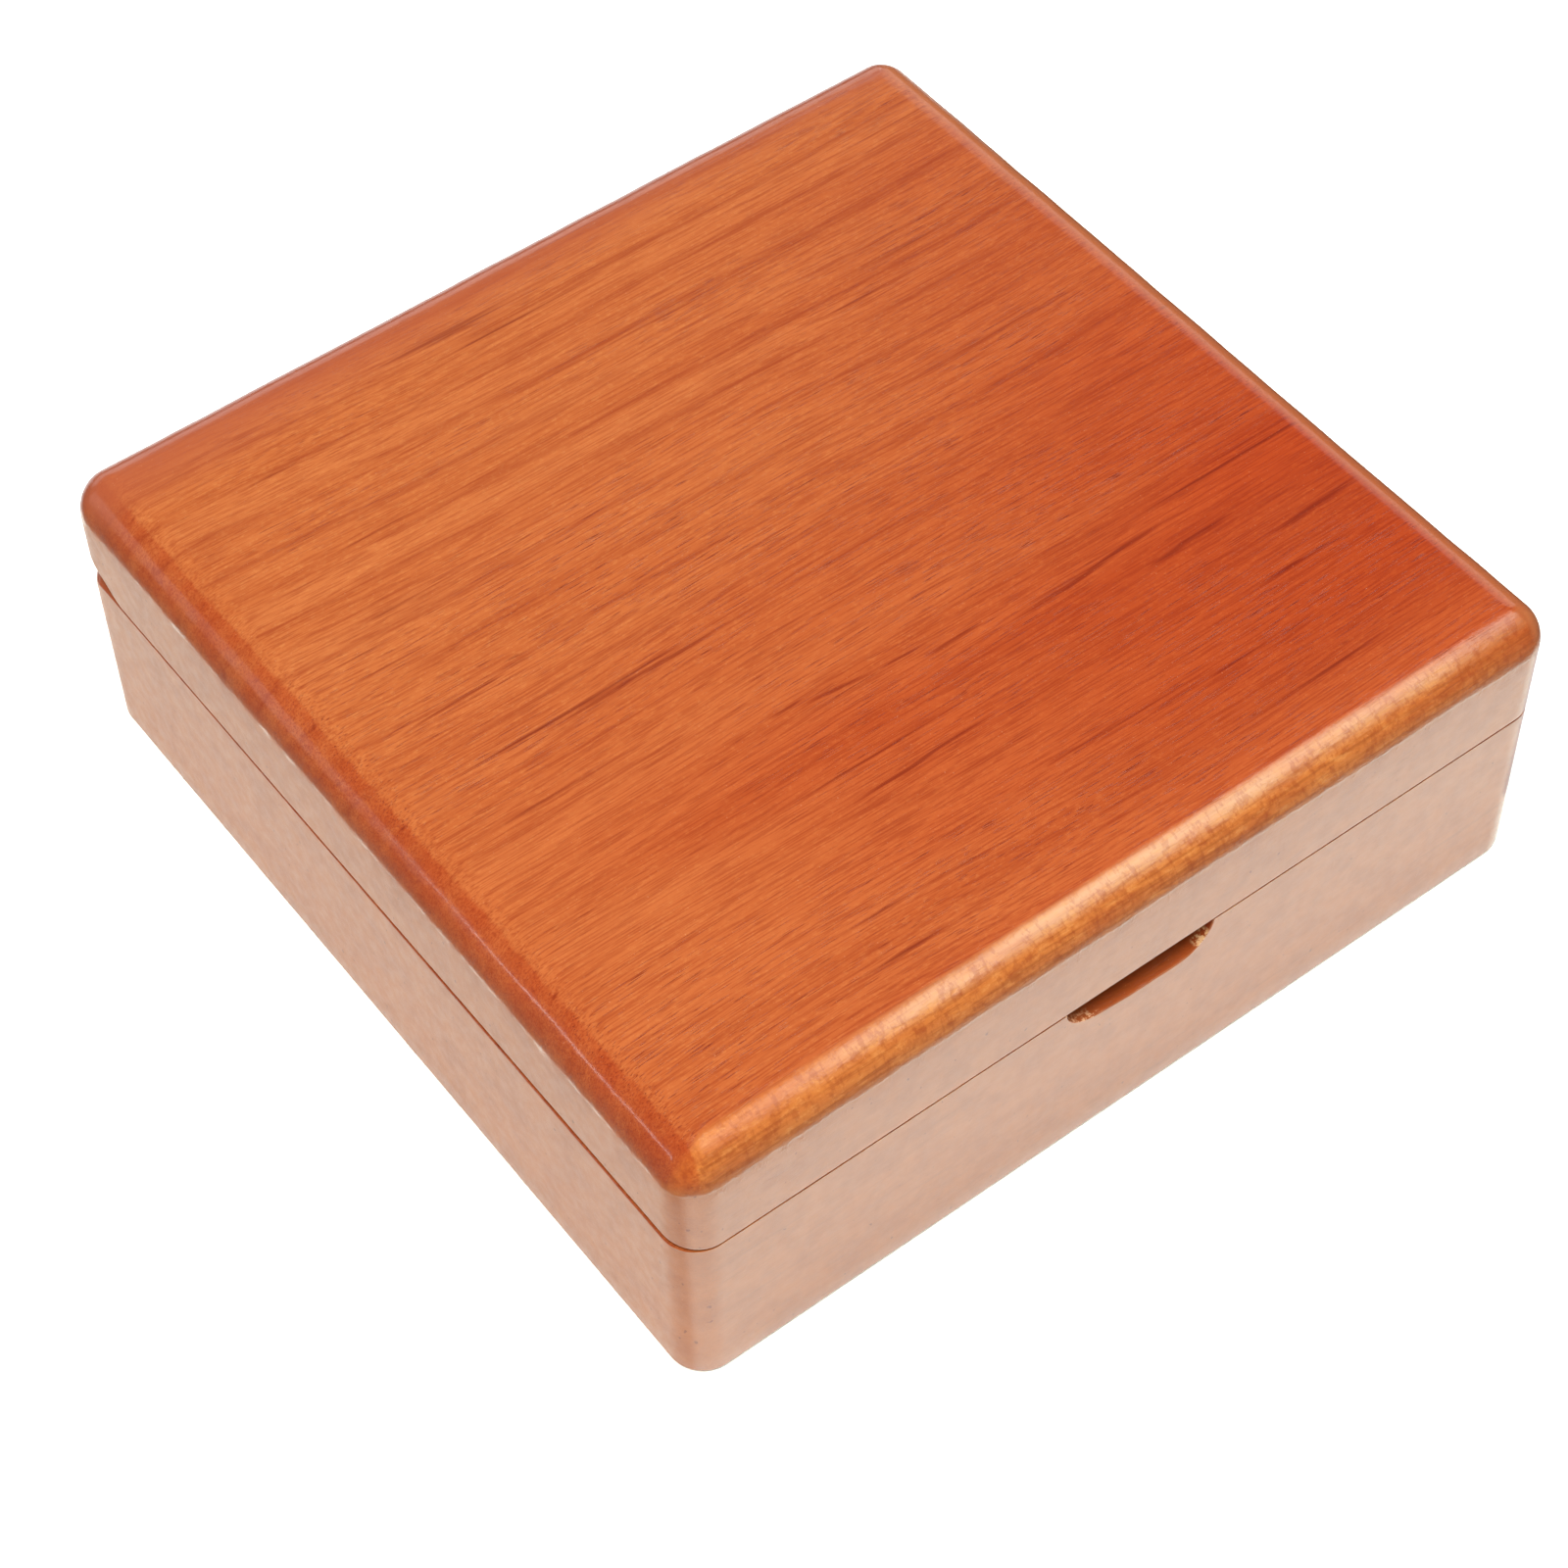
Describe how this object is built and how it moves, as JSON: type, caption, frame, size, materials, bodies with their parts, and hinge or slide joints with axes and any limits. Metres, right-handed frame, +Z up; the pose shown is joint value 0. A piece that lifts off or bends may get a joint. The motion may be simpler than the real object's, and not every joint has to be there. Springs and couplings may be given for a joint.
{
  "type": "hinged wooden box",
  "caption": "Square solid-wood box with a lid hinged at the back, rounded top edges, a finger notch in the front rim and a felt-lined hollow.",
  "frame": {"origin": "middle of the underside of the closed box, on the surface it stands on", "axes": "+X to the right along the front edge, +Y from the front to the hinged back, +Z up"},
  "size_m": [0.1, 0.1, 0.034],
  "materials": {
    "wood": "cherry-stained hardwood under satin-gloss lacquer",
    "felt": "dark pressed felt",
    "brass": "brushed",
    "magnet": "nickel-plated"
  },
  "bodies": {
    "base": {"base": "wood", "base_felt": "felt", "left_base_leaf": "brass", "left_hinge_pin": "brass", "left_base_screw_outer": "brass", "left_base_screw_inner": "brass", "left_base_magnet": "magnet", "right_base_leaf": "brass", "right_hinge_pin": "brass", "right_base_screw_outer": "brass", "right_base_screw_inner": "brass", "right_base_magnet": "magnet"},
    "lid": {"lid": "wood", "lid_felt": "felt", "left_lid_leaf": "brass", "left_lid_screw_outer": "brass", "left_lid_screw_inner": "brass", "left_lid_magnet": "magnet", "right_lid_leaf": "brass", "right_lid_screw_outer": "brass", "right_lid_screw_inner": "brass", "right_lid_magnet": "magnet"}
  },
  "joints": [
    {"name": "lid_hinge", "type": "hinge", "parent": "base", "child": "lid", "pos_m": [0, 0.0484, 0.021], "axis": [-1, 0, 0], "range_deg": [0, 110]}
  ]
}
